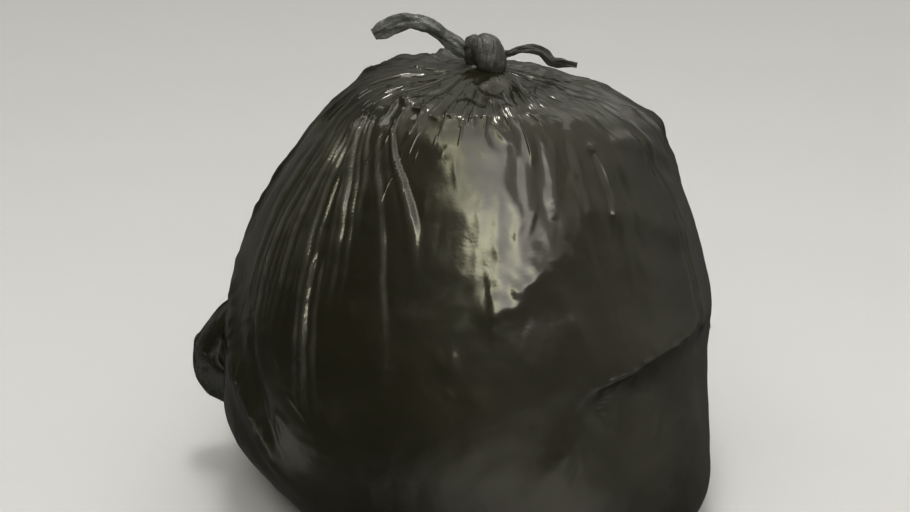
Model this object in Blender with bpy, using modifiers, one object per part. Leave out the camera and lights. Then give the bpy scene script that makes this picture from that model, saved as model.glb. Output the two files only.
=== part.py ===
"""A full bin bag: one piece of thin dark film, stuffed round and tied shut with its own two mouth corners.

Metres, +Z up. The bag stands on the plane Z = 0, its front faces -Y, and the origin is on the floor under the
middle of the whole object's box. The tube of film is gathered into pleats at the neck, its two mouth corners are
twisted into tails and tied in a knot, and one corner of the bottom seam stands out at the left as an ear.
"""

import math

import bmesh
import bpy
from mathutils import Euler, Vector

# Driving dimensions.
NECK_HEIGHT = 0.418
HALF_WIDTH = 0.239
HALF_DEPTH = 0.215
KNOT_SIZE = 0.044

# The skin's cage: segments round the bag, and rings from the middle of its base to its neck.
AROUND = 54
RINGS = 23

# Rings of the body, from the middle of the base to the neck: height as a share of NECK_HEIGHT, then the reach to
# the left and right as shares of HALF_WIDTH, and to the front and back as shares of HALF_DEPTH.
STATIONS = (
    (0.00, 0.00, 0.00, 0.00, 0.00),
    (0.00, 0.38, 0.46, 0.44, 0.42),
    (0.00, 0.64, 0.89, 0.78, 0.70),
    (0.05, 0.82, 0.97, 0.94, 0.84),
    (0.18, 1.00, 0.95, 1.00, 0.95),
    (0.36, 1.01, 0.97, 1.00, 1.00),
    (0.54, 0.96, 0.96, 0.92, 0.98),
    (0.71, 0.84, 0.87, 0.79, 0.88),
    (0.84, 0.73, 0.74, 0.63, 0.72),
    (0.935, 0.60, 0.58, 0.50, 0.57),
    (1.01, 0.46, 0.32, 0.42, 0.43),
    (1.01, 0.21, 0.18, 0.20, 0.21),
    (1.03, 0.07, 0.07, 0.07, 0.07),
    (1.06, 0.00, 0.00, 0.00, 0.00),
)

# The neck stands off the middle of the base by this much, and the rings above the belly lean over with it.
NECK_LEAN = Vector((0.014, -0.004, 0))
LEAN_STARTS = 0.60

# Where the contents push the film out, or leave it slack: what it is, azimuth in degrees from +X towards +Y,
# height as a share of NECK_HEIGHT, spread in degrees, spread in height, and how far out.
SWELLINGS = (
    ("low right bulge", -34, 0.15, 34, 0.15, 0.020),
    ("right shoulder", -4, 0.905, 24, 0.045, 0.012),
    ("low left corner", 165, 0.13, 34, 0.08, 0.012),
    ("slack at the low front left", -128, 0.12, 40, 0.14, -0.016),
)

# The level fold where the film sags over the low right bulge.
CREASE_AZIMUTH, CREASE_SPREAD_DEG = -38, 34
CREASE_HEIGHT, CREASE_SPREAD, CREASE_DEPTH = 0.40, 0.026, 0.015

# The pleats run down from the neck. They crowd together and reach lowest on the side where the tie pulls hardest.
PLEATS = 14
PLEAT_DEPTH = 0.0065
PLEATS_FULL = 0.82
PLEATS_START_NEAR, PLEATS_START_FAR = 0.34, 0.62
PULLED_AZIMUTH = -142
CROWDING = 0.42
PLEAT_SWIRL_DEG = 8

# Above 2, the bag's level sections are squarer than ellipses.
SECTION_POWER = 2.15

# The knot is a wrap of twisted film, on the right, pulled down over the strand that it turns round.
KNOT_LIFT = 0.022
KNOT_LOBES = (
    # share of KNOT_SIZE: offset right, back and up, then width, depth and height; and its lean in degrees
    ((-0.22, 0.06, 0.04), (0.54, 0.78, 0.88), 8),
    ((0.14, -0.08, -0.02), (0.68, 0.86, 1.12), -18),
)

# Routes of the two tails from inside the knot to their tips: right, back and up from the knot's middle, and the
# film's half width there.
LEFT_TAIL = (
    (0.000, 0.002, 0.000, 0.0090),
    (-0.024, 0.004, 0.006, 0.0085),
    (-0.040, 0.006, 0.020, 0.0080),
    (-0.060, 0.008, 0.031, 0.0085),
    (-0.080, 0.008, 0.033, 0.0080),
    (-0.097, 0.006, 0.024, 0.0070),
    (-0.108, 0.004, 0.016, 0.0036),
)
RIGHT_TAIL = (
    (0.000, 0.002, 0.000, 0.0060),
    (0.024, 0.006, 0.002, 0.0042),
    (0.042, 0.010, 0.008, 0.0045),
    (0.056, 0.012, 0.007, 0.0048),
    (0.070, 0.012, -0.003, 0.0042),
    (0.082, 0.010, -0.011, 0.0036),
    (0.091, 0.008, -0.013, 0.0018),
)
TAIL_STEPS = 3
TAIL_FLATNESS = 0.62

# The ear is the flattened corner of the bottom seam, folded up against the side: an upper flap over a lower one.
EAR_PLACE = Vector((-0.240, 0.030, 0.122))
EAR_FLAPS = (
    # offset, half sizes, lean in degrees about Y
    (Vector((0.000, 0.000, 0.010)), Vector((0.038, 0.017, 0.040)), 28),
    (Vector((-0.002, -0.006, -0.020)), Vector((0.036, 0.014, 0.024)), -20),
)

FILM_COLOUR = (0.014, 0.0135, 0.0095, 1)


def smooth_step(low, high, value):
    """0 at low and below, 1 at high and above, with no corner between."""
    share = min(max((value - low) / (high - low), 0.0), 1.0)
    return share * share * (3 - 2 * share)


def hump(value, spread):
    """A bell curve, 1 where value is 0."""
    return math.exp(-((value / spread) ** 2))


def turn_between(a, b):
    """The angle from b to a in degrees, from -180 to 180."""
    return (a - b + 180) % 360 - 180


def along_rows(rows, share):
    """The numbers at a share from 0 to 1 of the way through the rows, on a Catmull-Rom curve."""
    place = share * (len(rows) - 1)
    index = min(int(place), len(rows) - 2)
    t = place - index
    near = [rows[min(max(index + step, 0), len(rows) - 1)] for step in (-1, 0, 1, 2)]
    return [
        here
        + 0.5 * t * (ahead - before)
        + t**2 * (before - 2.5 * here + 2 * ahead - 0.5 * after)
        + t**3 * (1.5 * (here - ahead) + 0.5 * (after - before))
        for before, here, ahead, after in zip(*near)
    ]


def skin_point(turn, level):
    """The place on the film at a turn in radians, counted in pleats, and a level from the base (0) to the neck (1)."""
    azimuth = turn - CROWDING * math.sin(turn - math.radians(PULLED_AZIMUTH))
    height, left, right, front, back = along_rows(STATIONS, level)
    height = max(height, 0.0)
    degrees = math.degrees(azimuth)
    across, along = math.cos(azimuth), math.sin(azimuth)
    round_off = (abs(across) ** SECTION_POWER + abs(along) ** SECTION_POWER) ** (-1 / SECTION_POWER)
    reach_x = HALF_WIDTH * (right if across > 0 else left)
    reach_y = HALF_DEPTH * (back if along > 0 else front)
    place = Vector((reach_x * across, reach_y * along, 0)) * round_off
    outward = place.normalized()

    off_base = smooth_step(0.0, 0.05, height)
    for _, middle, middle_height, spread_deg, spread, reach in SWELLINGS:
        share = hump(turn_between(degrees, middle), spread_deg) * hump(height - middle_height, spread)
        place += outward * reach * off_base * share
    share = hump(turn_between(degrees, CREASE_AZIMUTH), CREASE_SPREAD_DEG)
    place -= outward * CREASE_DEPTH * share * hump(height - CREASE_HEIGHT, CREASE_SPREAD)

    away = (1 - math.cos(azimuth - math.radians(PULLED_AZIMUTH))) / 2
    start = PLEATS_START_NEAR + (PLEATS_START_FAR - PLEATS_START_NEAR) * away
    gathered = smooth_step(start, PLEATS_FULL, level)
    pleat = math.cos(PLEATS * (turn + math.radians(PLEAT_SWIRL_DEG) * gathered))
    place += outward * PLEAT_DEPTH * gathered * pleat * smooth_step(0.0, 0.04, place.length)
    place += NECK_LEAN * smooth_step(LEAN_STARTS, 1.0, height)
    return place + Vector((0, 0, height * NECK_HEIGHT))


def film_material():
    """Thin dark polythene, with the soft gloss of its creased surface."""
    material = bpy.data.materials.new("dark_film")
    material.use_nodes = True
    shader = material.node_tree.nodes["Principled BSDF"]
    shader.inputs["Base Color"].default_value = FILM_COLOUR
    shader.inputs["Roughness"].default_value = 0.28
    shader.inputs["Metallic"].default_value = 0.0
    return material


def linked(name, mesh, collection):
    made = bpy.data.objects.new(name, mesh)
    collection.objects.link(made)
    return made


def bag_skin(name, collection):
    """The stuffed film up to the neck: a sphere's rings, each moved to its place on the bag."""
    mesh = bpy.data.meshes.new(name)
    cage = bmesh.new()
    bmesh.ops.create_uvsphere(cage, u_segments=AROUND, v_segments=RINGS, radius=1)
    for vertex in cage.verts:
        turn = math.atan2(vertex.co.y, vertex.co.x)
        level = 1 - math.acos(min(max(vertex.co.z, -1), 1)) / math.pi
        vertex.co = skin_point(turn, level)
    cage.to_mesh(mesh)
    cage.free()
    skin = linked(name, mesh, collection)
    smooth = skin.modifiers.new("round film", "SUBSURF")
    smooth.levels = smooth.render_levels = 1
    return skin


def lobe(name, middle, half_sizes, lean_deg, collection, segments=20, rings=12):
    """A rounded lump of bunched film."""
    mesh = bpy.data.meshes.new(name)
    ball = bmesh.new()
    bmesh.ops.create_uvsphere(ball, u_segments=segments, v_segments=rings, radius=1)
    ball.to_mesh(mesh)
    ball.free()
    lump = linked(name, mesh, collection)
    lump.location = middle
    lump.rotation_euler = Euler((0, math.radians(lean_deg), 0))
    lump.scale = half_sizes
    return lump


def tail(name, route, start, collection):
    """One mouth corner of the bag, twisted into a tapering strand that is wider than it is thick."""
    curve = bpy.data.curves.new(name, "CURVE")
    curve.dimensions = "3D"
    curve.bevel_depth = 1.0
    curve.bevel_resolution = 2
    curve.use_fill_caps = True
    strand = curve.splines.new("POLY")
    count = (len(route) - 1) * TAIL_STEPS + 1
    strand.points.add(count - 1)
    for index, point in enumerate(strand.points):
        x, y, z, half_width = along_rows(route, index / (count - 1))
        # The squeeze in Y below is undone here, so that the route stays where it is given.
        point.co = (x, y / TAIL_FLATNESS, z, 1)
        point.radius = half_width
    drawn = linked(name + "_curve", curve, collection)
    bpy.context.view_layer.update()
    graph = bpy.context.evaluated_depsgraph_get()
    mesh = bpy.data.meshes.new_from_object(drawn.evaluated_get(graph))
    bpy.data.objects.remove(drawn)
    welded = bmesh.new()
    welded.from_mesh(mesh)
    bmesh.ops.remove_doubles(welded, verts=welded.verts, dist=0.00001)
    welded.to_mesh(mesh)
    welded.free()
    made = linked(name, mesh, collection)
    made.scale = (1, TAIL_FLATNESS, 1)
    made.location = start
    return made


def join(skin, lumps):
    """Makes the lumps one solid with the skin, because they are all the same piece of film."""
    for lump in lumps:
        union = skin.modifiers.new("join " + lump.name, "BOOLEAN")
        union.operation = "UNION"
        union.object = lump
        lump.hide_render = True
        lump.display_type = "WIRE"


def stand_on_origin(objects):
    """Moves the whole bag so that the middle of its box is over the origin and its base is on the floor."""
    bpy.context.view_layer.update()
    graph = bpy.context.evaluated_depsgraph_get()
    seen = [obj.evaluated_get(graph) for obj in objects if not obj.hide_render]
    corners = [obj.matrix_world @ vertex.co for obj in seen for vertex in obj.data.vertices]
    low = Vector(min(corner[axis] for corner in corners) for axis in range(3))
    high = Vector(max(corner[axis] for corner in corners) for axis in range(3))
    middle = (low + high) / 2
    for obj in objects:
        obj.location -= Vector((middle.x, middle.y, low.z))


def main():
    for old in list(bpy.data.objects):
        bpy.data.objects.remove(old, do_unlink=True)
    parts = bpy.data.collections.new("full_bin_bag")
    helpers = bpy.data.collections.new("joined_lumps")
    for collection in (parts, helpers):
        bpy.context.scene.collection.children.link(collection)

    skin = bag_skin("bin_bag", parts)
    skin.data.materials.append(film_material())
    skin.data.shade_smooth()
    knot = NECK_LEAN + Vector((0, 0, NECK_HEIGHT + KNOT_LIFT))
    lumps = []
    for index, (offset, size, lean) in enumerate(KNOT_LOBES, 1):
        middle = knot + Vector(offset) * KNOT_SIZE
        lumps.append(lobe(f"knot_lobe_{index}", middle, Vector(size) * KNOT_SIZE / 2, lean, helpers))
    lumps.append(tail("left_tail", LEFT_TAIL, knot, helpers))
    lumps.append(tail("right_tail", RIGHT_TAIL, knot, helpers))
    for index, (offset, half_sizes, lean) in enumerate(EAR_FLAPS, 1):
        lumps.append(lobe(f"ear_flap_{index}", EAR_PLACE + offset, half_sizes, lean, helpers))
    join(skin, lumps)
    stand_on_origin([skin, *lumps])


main()
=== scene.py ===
"""The looks of a full bin bag: thin olive-black film, stuffed round and tied shut with its own mouth corners.

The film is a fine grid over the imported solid's shape, from the middle of the base up to the neck, pushed out
and in by folds and creases, then settled like thin cloth. A place on it is an azimuth in degrees, from +X
towards +Y, and metres down the film from the neck. A route is a row of places. Lengths are in metres unless
a comment says millimetres, and heights on the body are shares of NECK_HEIGHT.
"""

import math

import bmesh
import bpy
import numpy as np
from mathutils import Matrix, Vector


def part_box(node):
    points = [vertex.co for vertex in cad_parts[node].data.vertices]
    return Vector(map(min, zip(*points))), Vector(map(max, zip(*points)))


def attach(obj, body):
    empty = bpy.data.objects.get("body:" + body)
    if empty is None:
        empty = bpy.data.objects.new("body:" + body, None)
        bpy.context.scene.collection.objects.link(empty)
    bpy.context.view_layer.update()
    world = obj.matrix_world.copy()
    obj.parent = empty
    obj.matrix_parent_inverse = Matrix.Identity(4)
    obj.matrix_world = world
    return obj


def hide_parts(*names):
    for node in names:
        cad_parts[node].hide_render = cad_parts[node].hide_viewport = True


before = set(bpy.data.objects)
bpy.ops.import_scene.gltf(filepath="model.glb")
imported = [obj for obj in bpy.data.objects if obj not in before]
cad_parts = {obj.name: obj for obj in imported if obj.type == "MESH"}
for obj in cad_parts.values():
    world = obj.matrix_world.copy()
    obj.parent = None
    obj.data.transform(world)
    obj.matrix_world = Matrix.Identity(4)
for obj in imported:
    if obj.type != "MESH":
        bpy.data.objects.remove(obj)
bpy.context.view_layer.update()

LOW, HIGH = (np.array(corner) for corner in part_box("bin_bag"))
WIDE, DEEP, TALL = HIGH - LOW

# Driving sizes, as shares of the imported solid's box.
NECK_HEIGHT = 0.868 * TALL
HALF_WIDTH = 0.4635 * WIDE
HALF_DEPTH = 0.502 * DEEP

# The film's grid: its columns round the bag, and its rows from the base to the neck.
AROUND = 484
ROWS = 204

# Rings of the body: height, then the reach to the left and right as shares of HALF_WIDTH, and to the front
# and back as shares of HALF_DEPTH.
STATIONS = (
    (0.00, 0.00, 0.00, 0.00, 0.00),
    (0.00, 0.38, 0.46, 0.44, 0.42),
    (0.00, 0.64, 0.89, 0.78, 0.70),
    (0.05, 0.82, 0.97, 0.95, 0.84),
    (0.18, 1.00, 0.95, 1.01, 0.95),
    (0.34, 1.01, 0.97, 1.01, 1.00),
    (0.50, 0.97, 0.97, 0.93, 0.99),
    (0.66, 0.87, 0.90, 0.80, 0.91),
    (0.79, 0.77, 0.79, 0.68, 0.79),
    (0.89, 0.66, 0.66, 0.58, 0.66),
    (0.965, 0.54, 0.49, 0.50, 0.52),
    (1.002, 0.43, 0.29, 0.415, 0.40),
    (1.016, 0.21, 0.18, 0.21, 0.21),
    (1.033, 0.085, 0.078, 0.086, 0.086),
    (1.060, 0.040, 0.040, 0.042, 0.042),
)
# Rings up to this one are the base, which takes this share of the grid's rows.
BASE_STATION = 2
BASE_SHARE = 0.07
# How far the neck stands off the middle, and the height where the body starts to lean.
NECK_LEAN = np.array((0.014, -0.004, 0.0))
LEAN_STARTS = 0.60
# Each ring is a superellipse of this power.
SECTION_POWER = 2.15

# Where the contents push the film out or leave it slack: azimuth, height, their spreads, and how far out.
SWELLINGS = {
    "low right bulge": (-34, 0.15, 34, 0.15, 0.020),
    "right shoulder": (-4, 0.905, 24, 0.045, 0.012),
    "low left corner": (165, 0.13, 34, 0.08, 0.004),
    "slack at the low front left": (-128, 0.12, 40, 0.14, -0.016),
}
# The height where they are full, and the smallest ring that they grow.
SWELLINGS_FULL = 0.05
SMALLEST_REACH = 0.01

# Where the grid is closer, as the folds are finest there: the middle, the spread and how much closer.
CLOSE_COLUMNS = ((-130, 34, 2.3), (-70, 34, 1.1), (-20, 30, 0.4))
CLOSE_ROWS = ((0.105, 0.035, 0.7), (0.365, 0.040, 0.8))

# Each noise and each set of random creases adds a number of its own to this.
SEED = 7
NOISE_CELLS = 256
NOISE_ORIGIN = 100.0
NOISE_GAIN = 1.6
CREST_FALL = 2.4
CREST_ROUND = 0.06

# The folds' lines wander to the side by this much over this distance. Their heights vary by shares, in a slow
# waver and small beads.
WOBBLE, WOBBLE_SIZE = 0.0013, 0.030
WAVER, WAVER_SIZE = 0.40, 0.022
BEADS, BEAD_SIZE = 0.22, 0.010
# Straight steps from one place of a route to the next.
ROUTE_STEPS = 4
# A ridge's slack valleys, the band that it holds and its reach, in its own widths. It fades from just past
# its ends.
VALLEY_AWAY = 2.2
VALLEY_WIDTH = 1.1
HELD_WIDTH = 2.2
RIDGE_REACH = 5
PAST_END = 0.001
# The painted highlight on a fold's crest is brightest on its beads, up to this share.
BRIGHTEST_HIGHLIGHT_BEAD = 1.6
# A fold higher or deeper than this holds the film along it, so that it creases less.
PINCHED_HEIGHT = 0.0009
DENT_REACH = 2.5
PLEAT_WAVER = 0.35
# A degree round the film is this long where it is widest, this far down, and at least this long at the top.
METRES_PER_DEGREE = 0.0038
WIDEST_DOWN = 0.3
SHORTEST_DEGREE = 0.0004
# The sides start and are full this far down.
SIDES_START = (0.10, 0.20)

# How the film settles. At its two ends it is held still, and comes loose over these lengths.
SETTLE_ROUNDS = 60
SETTLE_SOLVES = 3
SPEED_KEPT = 0.85
DRAWN_IN = 0.00001
SHEAR_STIFFNESS = 0.15
BEND_STIFFNESS = 0.04
HELD_AT_NECK = 0.02
HELD_AT_BASE = 0.04
# The contents fill this share of each fold, less a gap.
CONTENTS_FILL = 0.75
CONTENTS_GAP = 0.0005

# The film's spare length, as shares: round it everywhere and where the tie pulls, and down it everywhere
# and low on the sides.
SPARE_ROUND, SPARE_PULLED = 0.008, 0.075
SPARE_DOWN, SPARE_LOW = 0.001, 0.004
PULL_ENDS = (0.05, 0.24)
LOW_STARTS = (0.20, 0.40)
# It is uneven by this much over this distance, and a fold that holds the film takes a share.
UNEVEN, UNEVEN_SIZE = 1.2, 0.06
PINCH_TAKES = 0.95
# Smooth sectors with less of it: azimuth, spread, and how much less. Then where they start.
TAUT_SECTORS = ((-94, 24, 0.85), (-58, 26, 0.75))
TAUT_STARTS = (0.09, 0.12)

# The knot's middle, and its rounds: offset, size, degrees that each leans right and is turned, and its seed.
KNOT_CENTRE = np.array((0.0320, -0.003, 0.4465))
KNOT_LOBES = {
    "knot_left": ((-0.0085, 0.002, 0.000), (0.019, 0.028, 0.030), 10, 20, 31),
    "knot_right": ((0.0040, -0.004, -0.001), (0.028, 0.032, 0.041), -27, -10, 41),
}
LOBE_GRID = (84, 132)
LOBE_END = 0.02
LOBE_FULLNESS = 0.82
# Its ribs: twist in radians, the radius in noise that sets how many, how soon they change along it, and the
# heights of a coarse set and of a fine one that is closer. Then its lumps: height and size.
LOBE_TWIST, LOBE_RIBS, LOBE_RIB_CHANGE = 0.9, 1.5, 0.7
COARSE_RIBS = 0.0009
FINE_RIBS, FINE_RIBS_CLOSER = 0.0004, 2.2
LOBE_LUMPS = ((0.0020, 0.019), (0.0004, 0.006))

# Loose ends: points as (x, y, z) from the knot's middle, and half the width there.
TAILS = {
    "tail_left": (
        (-0.006, 0.002, 0.000, 0.0064), (-0.019, 0.003, 0.003, 0.0078), (-0.030, 0.005, 0.010, 0.0084),
        (-0.042, 0.006, 0.018, 0.0082), (-0.054, 0.007, 0.025, 0.0080), (-0.067, 0.008, 0.027, 0.0084),
        (-0.080, 0.008, 0.025, 0.0086), (-0.092, 0.006, 0.021, 0.0078), (-0.1015, 0.005, 0.016, 0.0056)),
    "tail_right": (
        (0.008, 0.004, -0.004, 0.0050), (0.022, 0.006, -0.002, 0.0040), (0.032, 0.008, 0.001, 0.0042),
        (0.044, 0.010, 0.001, 0.0050), (0.054, 0.012, -0.003, 0.0052), (0.063, 0.012, -0.011, 0.0048),
        (0.074, 0.010, -0.012, 0.0046), (0.086, 0.008, -0.014, 0.0028)),
}
TAIL_GRID = (170, 64)
FIRST_TAIL_SEED = 71
TAIL_FLATNESS = 0.45
TAIL_SHARE = 0.86
# Pleats along a tail: height as a share, how many round it, their twist in radians, and how the seed turns
# them. Then its creases and lumps, as height and size, and the shares of its length where they fade in and
# out.
TAIL_PLEATS = ((0.13, 2, 7, 1), (0.17, 3, -9, 2), (0.10, 5, 12, 3), (0.05, 9, -16, 0))
TAIL_CREASES = (0.0007, 0.014)
TAIL_LUMPS = (0.0004, 0.005)
TAIL_BAND = (0, 0.06, 0.97, 1)

# The bottom seam's corner, folded over: outlines as (x, z), the middle and half thickness in y, and the seed.
EAR_FLAPS = {
    "ear_upper": (
        ((-0.205, 0.196), (-0.224, 0.184), (-0.238, 0.166), (-0.251, 0.146), (-0.250, 0.138), (-0.240, 0.124),
         (-0.228, 0.112), (-0.205, 0.104)), 0.022, 0.028, 51),
    "ear_lower": (
        ((-0.205, 0.150), (-0.232, 0.152), (-0.2515, 0.146), (-0.256, 0.128), (-0.256, 0.106),
         (-0.250, 0.090), (-0.238, 0.078), (-0.205, 0.074)), 0.034, 0.023, 61),
}
EAR_GRID = (80, 150)
EAR_FULLNESS = 0.75
# The seam round its rim: height, then its half width and that of the plain band beside it, in radians.
SEAM_HEIGHT = 0.0016
SEAM_WIDTH = 0.05
SEAM_PLAIN = 0.12
# Its creases and lumps: height and size.
EAR_CREASES = ((0.0014, 0.040), (0.0004, 0.015))
EAR_LUMPS = (0.0003, 0.007)

# The camera looks down at a target.
VIEW_DOWN_DEG = 22
VIEW_DISTANCE = 1.7
VIEW_TARGET = Vector((0.0053, 0, 0.2447))
LENS_MM = 70.06
SENSOR_MM = 36

# The room's light as soft lobes: azimuth, elevation, strength and how tight each is.
ROOM_GLOW = (
    (0, 90, 1.45, 7.0), (-10, 44, 0.62, 3.6), (-80, 38, 0.45, 14.0),
    (-62, -28, 0.70, 9.0), (0, 10, 0.18, 6.0), (70, 15, 0.22, 30.0),
    (90, 40, 0.34, 9.0), (135, 2, 0.12, 12.0), (-176, -30, 0.60, 30.0),
    (62, 20, 0.50, 40.0), (42, -10, 0.08, 30.0), (-18, -9, 0.13, 30.0),
    (-86, -44, 0.45, 10.0), (-148, 58, 0.90, 30.0), (48, 40, 0.80, 50.0),
)
ROOM_DARK = 0.04
ROOM_COLOUR = (1.0, 0.985, 0.925, 1)

# The point that the lights face, and how far off the panels are.
LIT_POINT = Vector((0.03, -0.1, 0.32))
PANEL_DISTANCE = 2.5
# A tall window with a yellow curtain at its left, as seen from that point. Each row is an elevation, then
# azimuths from left to right and the radiance at each. The colours are the columns'.
WINDOW_ROWS = (
    (57, (-152, -143, -131, -116, -84, -66, -36), (0.4, 3.0, 2.2, 2.3, 2.1, 1.3, 1.0)),
    (48, (-134, -127, -118, -108, -86, -72, -40), (0.5, 3.2, 2.2, 2.3, 2.1, 1.3, 1.0)),
    (41, (-115, -111, -104, -98, -84, -77, -40), (0.35, 7.2, 3.0, 3.2, 3.1, 1.25, 1.0)),
    (36, (-109.5, -106, -99, -93, -80, -75, -40), (0.3, 8.0, 3.1, 3.9, 3.7, 1.3, 0.95)),
    (33, (-103.5, -100, -95, -89, -79, -74, -40), (0.25, 8.2, 3.3, 4.5, 3.9, 1.4, 0.9)),
    (30, (-98.5, -95, -91, -86, -77, -71, -40), (0.3, 9.5, 6.4, 5.4, 4.4, 1.5, 0.8)),
    (27, (-95.5, -92, -88, -82, -72, -65, -38), (0.3, 13.0, 11.5, 6.8, 4.6, 1.6, 0.7)),
    (24, (-90.5, -87.5, -83, -77, -66, -60, -38), (0.3, 12.0, 11.0, 6.4, 3.8, 1.4, 0.6)),
    (21, (-88, -85, -81, -75, -66, -60, -38), (0.2, 0.3, 0.3, 0.4, 0.5, 0.5, 0.4)),
)
WINDOW_COLOURS = (
    (1.0, 0.98, 0.74), (1.0, 0.99, 0.76), (0.98, 1.0, 0.86), (1.0, 0.97, 0.98), (1.0, 0.97, 1.0),
    (1.0, 0.98, 0.97), (1.0, 0.98, 0.92))
# A bright lamp nearly overhead, and a dim one behind, which lights the left of the gathered top.
LAMP_ROWS = ((86, (100, 80), (34.0, 34.0)), (75, (-130, -50), (34.0, 34.0)))
BACK_LAMP_ROWS = ((58, (176, 150), (3.5, 3.5)), (44, (176, 150), (3.5, 3.5)))
LAMP_COLOURS = ((1.0, 0.99, 0.97), (1.0, 0.99, 0.97))

FILM_DARK = (0.0080, 0.0074, 0.0036, 1)
FILM_PALE = (0.0125, 0.0117, 0.0062, 1)
DUST_COLOUR = (0.045, 0.043, 0.036, 1)
# Painted highlight: the colour laid along the crests of the pulled folds and strands, for the light that they
# catch.
CREST_HIGHLIGHT_COLOUR = (0.060, 0.058, 0.046, 1)
MIRROR_TINT = (1.0, 0.98, 0.86, 1)
# Bunched film: its darkest and palest colours, and how rough it is at least and at most.
KNOTTED_FILM = ((0.022, 0.022, 0.016, 1), (0.043, 0.042, 0.033, 1), 0.36, 0.50)
# A paler copy of it for the left tail: painted light, for the light that tail catches.
LIT_TAIL_FILM = ((0.044, 0.045, 0.040, 1), (0.097, 0.098, 0.091, 1), 0.16, 0.32)
# A paler copy of it for the lower ear flap.
PALER_FLAP_FILM = ((0.014, 0.014, 0.011, 1), (0.032, 0.031, 0.026, 1), 0.20, 0.34)
FLOOR_DARK = (0.50, 0.495, 0.49, 1)
FLOOR_PALE = (0.52, 0.515, 0.51, 1)
FLOOR_ROUGHNESS = 0.8
FLOOR_SIZE = 30.0
# The film lies this far above the floor, so that they share no face.
FLOOR_GAP = 0.0003

# Pleats that radiate from the tie: how many round it, length, height as a share of their width and at most,
# and where they start to fade and are gone.
TIE_PLEATS = (
    (18, 0.10, 0.10, 0.0042, 0.06, 0.125),
    (36, 0.09, 0.12, 0.0024, 0.09, 0.16),
    (74, 0.05, 0.12, 0.0009, 0.09, 0.16),
)
# They start within this length. Then the sectors that pulled folds and the smooth patch take up: azimuth,
# spread, where they start and are full, and the share of the pleats that they take.
TIE_STARTS = 0.020
TAKEN_SECTORS = ((-140, 24, 0.09, 0.12, 0.8), (-101, 27, 0.085, 0.125, 0.9))
# Faint pleats below the rim: how many and length, height, and where they fade in and out.
FAINT_PLEATS = (52, 0.22)
FAINT_HEIGHT = 0.0012
FAINT_BAND = (0.10, 0.18, 0.18, 0.36)
# Broad dents: azimuth, metres down, width, length and depth. A depth below 0 is a bulge.
TOP_DENTS = (
    (148, 0.078, 0.052, 0.042, -0.009), (48, 0.085, 0.050, 0.040, 0.009), (-95, 0.032, 0.026, 0.020, -0.0055))
SHOULDER_DENT = (-24, 0.186, 0.034, 0.020, 0.0045)

# Where the top's rim catches the light: azimuth, metres down, width and height in millimetres. Each is as
# long as this share of its width.
RIM_BUMPS = (
    (-130, 0.094, 14, 6.5), (-122, 0.098, 6, 3.2), (-112, 0.102, 5, 1.8), (-105, 0.098, 6, 2.2),
    (-97, 0.098, 4, 1.4), (-91, 0.096, 6, 1.8), (-76, 0.086, 6, 2.6), (-60, 0.100, 6, 2.0),
    (-50, 0.146, 6, 2.4), (-7, 0.139, 12, 4.4), (-2, 0.150, 7, 2.0), (118, 0.066, 12, 5.0),
)
RIM_BUMP_SHORT = 0.7

# Raised folds round the knot: routes, then width and height in millimetres.
TOP_FOLDS = (
    (((104, 0.081), (128, 0.062), (188, 0.062)), 5.0, 3.2),
    (((126, 0.025), (176, 0.034), (199, 0.056)), 4.0, 2.4),
    (((-132, 0.022), (-134, 0.045), (-120, 0.084)), 4.0, 2.2),
    (((-102, 0.040), (-92, 0.061), (-74, 0.088)), 4.0, 2.8),
    (((-72, 0.018), (-68, 0.040), (-56, 0.066)), 3.5, 2.0),
    (((-40, 0.014), (-54, 0.060), (-58, 0.101)), 4.0, 2.4),
    (((46, 0.058), (11, 0.066), (-6, 0.086)), 5.0, 2.8),
    (((-160, 0.040), (-150, 0.070), (-138, 0.100)), 4.5, 2.4),
)

# Small straight creases at random: how many, and bounds for each measure. inward is the share of its height
# that one pressed inwards has.
TOP_CREASES = {
    "count": 110, "down": (0.015, 0.100), "length": (0.012, 0.034), "height": (0.0006, 0.0018),
    "width": (0.0024, 0.0046), "inward": -0.3, "sharp": 1.4, "slack": 0.3}
SIDE_CREASES = {
    "count": 300, "down": (0.11, 0.60), "length": (0.012, 0.050), "height": (0.0003, 0.0011),
    "width": (0.0016, 0.0034), "inward": -0.6, "sharp": 1.2, "slack": 0.2}
# How far they lean off the pull in degrees, on the top and on the sides above and below this.
TOP_LEAN, HIGH_LEAN, LOW_LEAN = 32, 18, 35
LOW_DOWN = 0.2
# Lumps on the top: height and size, and where they fade in and out.
TOP_LUMPS = ((0.0016, 0.026),)
TOP_LUMPS_BAND = (0.004, 0.02, 0.085, 0.115)
# The lumps of what is inside, and crinkles all over: height and size.
SIDE_LUMPS = ((0.0030, 0.10), (0.0010, 0.038))
CRINKLES = ((0.00050, 0.019), (0.00012, 0.0075))
# The smooth patch on the front takes shares off these lumps and off the small creases: azimuth and spread,
# and where each ends.
PATCH_LUMPS = (-90, 30)
PATCH_ENDS = (0.26, 0.36)
PATCH_TAKES = 0.60
PATCH_CREASES = (-92, 20)
PATCH_CREASES_END = 0.30
PATCH_CREASES_TAKES = 0.85

# Folds down the back and the right side, with bounds for each measure. Before an azimuth they are lower.
BACK_FOLDS = {
    "azimuths": range(-24, 190, 7), "off": 2.5, "bend": 6, "start": (0.07, 0.14), "end": (0.20, 0.44),
    "width": (0.0030, 0.0065), "height": (0.0012, 0.0044), "lean": 0.3}
LOWER_BEFORE = 4
LOWER_SHARE = 0.5
# The uneven stuffing there: height and size. It spares the front: azimuth and spread.
BACK_LUMPS = ((0.0045, 0.12), (0.0016, 0.045))
FRONT = (-92, 78)

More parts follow.
